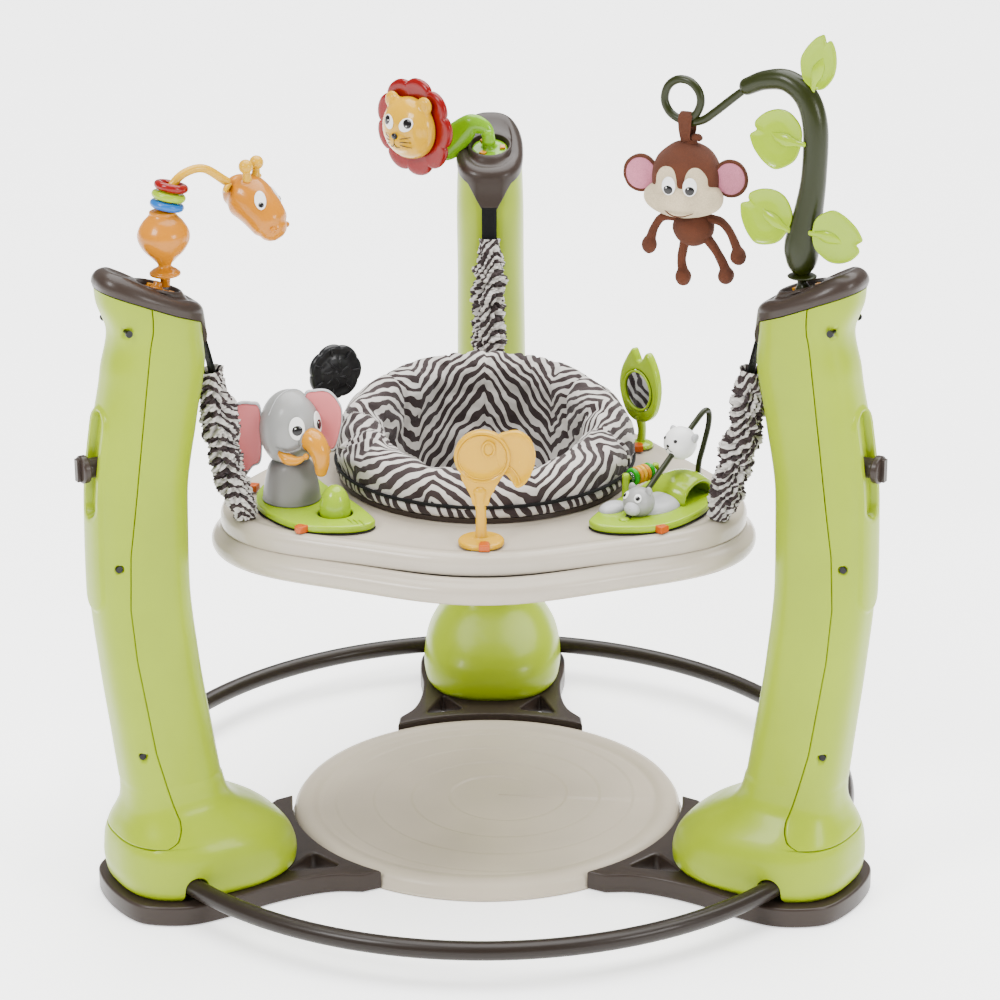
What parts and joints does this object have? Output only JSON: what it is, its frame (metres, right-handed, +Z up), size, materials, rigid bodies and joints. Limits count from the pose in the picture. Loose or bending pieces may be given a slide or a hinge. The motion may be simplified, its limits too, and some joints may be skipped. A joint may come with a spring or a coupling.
{
  "type": "activity jumper",
  "caption": "Baby activity jumper: a toy tray and turning fabric seat hung on straps and springs between green towers on a round floor base, with toys on the tray and towers.",
  "frame": {"origin": "on the floor, at the centre of the round base", "axes": "+Z up, front of the tray towards -Y, back tower towards +Y"},
  "size_m": [0.9054, 0.9699, 1.0284],
  "materials": {
    "brown_plastic": "satin",
    "tube_paint": "satin",
    "beige_plastic": "satin",
    "tray_plastic": "gloss",
    "green_plastic": "gloss",
    "screw_steel": "satin",
    "strap_webbing": "matt",
    "spring_steel": "satin",
    "cover_fabric": "matt",
    "seat_fabric": "matt",
    "toy_green": "gloss",
    "elephant_grey": "satin",
    "toy_orange": "gloss",
    "toy_yellow": "gloss",
    "mirror_film": "gloss",
    "stem_green": "gloss",
    "toy_black": "gloss",
    "toy_white": "gloss",
    "toy_blue": "gloss",
    "toy_red": "gloss",
    "vine_green": "satin",
    "leaf_green": "gloss",
    "hook_green": "gloss",
    "plush_brown": "matt"
  },
  "bodies": {
    "frame_and_towers": {"base_plate_left": "brown_plastic", "base_plate_right": "brown_plastic", "base_plate_back": "brown_plastic", "base_tube_front": "tube_paint", "base_tube_right": "tube_paint", "base_tube_left": "tube_paint", "foot_pad": "beige_plastic", "tower_inner_shell_left": "green_plastic", "tower_inner_shell_right": "green_plastic", "tower_inner_shell_back": "green_plastic", "tower_outer_shell_left": "green_plastic", "tower_outer_shell_right": "green_plastic", "tower_outer_shell_back": "green_plastic", "tower_cap_left": "brown_plastic", "tower_cap_right": "brown_plastic", "tower_cap_back": "brown_plastic", "tower_screws": "screw_steel", "giraffe_body": "toy_orange", "giraffe_head": "toy_yellow", "lion_stem": "stem_green", "lion_face": "toy_yellow", "vine_stem": "vine_green", "vine_leaves": "leaf_green", "vine_hook": "hook_green"},
    "knob_left": {"height_knob_left": "brown_plastic"},
    "knob_right": {"height_knob_right": "brown_plastic"},
    "knob_back": {"height_knob_back": "brown_plastic"},
    "suspension": {"strap_left": "strap_webbing", "strap_right": "strap_webbing", "strap_back": "strap_webbing", "springs": "spring_steel", "spring_cover_left": "cover_fabric", "spring_cover_right": "cover_fabric", "spring_cover_back": "cover_fabric"},
    "tray": {"strap_anchors": "brown_plastic", "tray_top": "tray_plastic", "tray_bottom": "beige_plastic", "tray_screws": "screw_steel", "elephant_base": "toy_green", "elephant_body": "elephant_grey", "toucan_teether": "toy_yellow", "mirror_frame": "toy_green", "mirror_glass": "mirror_film", "flower_stalk": "toy_black", "bead_base": "toy_green", "bead_wire": "vine_green"},
    "seat": {"seat_ring": "brown_plastic", "seat_fabric": "seat_fabric"},
    "elephant_turning_head": {"elephant_head": "elephant_grey", "elephant_ears": "elephant_grey"},
    "elephant_push_button": {"elephant_button": "toy_green"},
    "spinner_wheel": {"flower_spinner": "toy_black"},
    "rattle": {"rattle_roller": "toy_orange"},
    "lower_bead": {"hippo_bead": "elephant_grey"},
    "upper_bead": {"lamb_bead": "toy_white"},
    "neck_ring_blue": {"ring_blue": "toy_blue"},
    "neck_ring_lime": {"ring_lime": "toy_green"},
    "neck_ring_red": {"ring_red": "toy_red"},
    "mane_wheel": {"lion_mane": "toy_red"},
    "hanging_monkey": {"plush_monkey": "plush_brown"}
  },
  "joints": [
    {"name": "height_adjust", "type": "slide", "parent": "frame_and_towers", "child": "suspension", "axis": [0, 0, 1], "range_m": [-0.03, 0.015], "deforming": ["strap_left", "strap_right", "strap_back"]},
    {"name": "knob_left_slide", "type": "slide", "parent": "frame_and_towers", "child": "knob_left", "axis": [0, 0, 1], "range_m": [-0.015, 0.03]},
    {"name": "knob_right_slide", "type": "slide", "parent": "frame_and_towers", "child": "knob_right", "axis": [0, 0, 1], "range_m": [-0.015, 0.03]},
    {"name": "knob_back_slide", "type": "slide", "parent": "frame_and_towers", "child": "knob_back", "axis": [0, 0, 1], "range_m": [-0.015, 0.03]},
    {"name": "tray_bounce", "type": "slide", "parent": "suspension", "child": "tray", "axis": [0, 0, 1], "range_m": [-0.09, 0], "stiffness_N_per_m": 700, "springref_m": 0.12, "deforming": ["springs", "spring_cover_left", "spring_cover_right", "spring_cover_back"]},
    {"name": "seat_turn", "type": "hinge", "parent": "tray", "child": "seat", "pos_m": [0, 0, 0.452], "axis": [0, 0, 1], "continuous": true},
    {"name": "elephant_head_turn", "type": "hinge", "parent": "tray", "child": "elephant_turning_head", "pos_m": [-0.222, -0.114, 0.52], "axis": [0, 0, 1], "range_deg": [-30, 0]},
    {"name": "elephant_button_press", "type": "slide", "parent": "tray", "child": "elephant_push_button", "axis": [0, 0, 1], "range_m": [-0.004, 0], "stiffness_N_per_m": 300, "springref_m": 0.003},
    {"name": "spinner_turn", "type": "hinge", "parent": "tray", "child": "spinner_wheel", "pos_m": [-0.187, 0.092, 0.547], "axis": [0.5, -0.866, 0], "continuous": true},
    {"name": "rattle_roll", "type": "hinge", "parent": "tray", "child": "rattle", "pos_m": [0.183, -0.092, 0.48], "axis": [0.7071, 0.7071, 0], "continuous": true},
    {"name": "lower_bead_slide", "type": "slide", "parent": "tray", "child": "lower_bead", "axis": [0.5277, 0.6569, 0.5385], "range_m": [0, 0.015]},
    {"name": "upper_bead_slide", "type": "slide", "parent": "tray", "child": "upper_bead", "axis": [0.5277, 0.6569, 0.5385], "range_m": [-0.02, 0.004]},
    {"name": "ring_blue_slide", "type": "slide", "parent": "frame_and_towers", "child": "neck_ring_blue", "axis": [0.2095, 0.121, 0.9703], "range_m": [0, 0.004]},
    {"name": "ring_lime_slide", "type": "slide", "parent": "frame_and_towers", "child": "neck_ring_lime", "axis": [0.2095, 0.121, 0.9703], "range_m": [0, 0.004]},
    {"name": "ring_red_slide", "type": "slide", "parent": "frame_and_towers", "child": "neck_ring_red", "axis": [0.2095, 0.121, 0.9703], "range_m": [0, 0.004]},
    {"name": "mane_turn", "type": "hinge", "parent": "frame_and_towers", "child": "mane_wheel", "pos_m": [-0.092, 0.392, 0.773], "axis": [-0.6428, -0.766, 0], "continuous": true},
    {"name": "monkey_swing", "type": "hinge", "parent": "frame_and_towers", "child": "hanging_monkey", "pos_m": [0.2243, -0.1295, 0.911], "axis": [0.866, -0.5, 0], "range_deg": [-35, 35]}
  ],
  "couplings": [
    {"joint": "knob_left_slide", "follows": "height_adjust", "ratio": -1},
    {"joint": "knob_right_slide", "follows": "height_adjust", "ratio": -1},
    {"joint": "knob_back_slide", "follows": "height_adjust", "ratio": -1},
    {"joint": "ring_lime_slide", "follows": "ring_blue_slide", "ratio": 1},
    {"joint": "ring_red_slide", "follows": "ring_blue_slide", "ratio": 1}
  ]
}
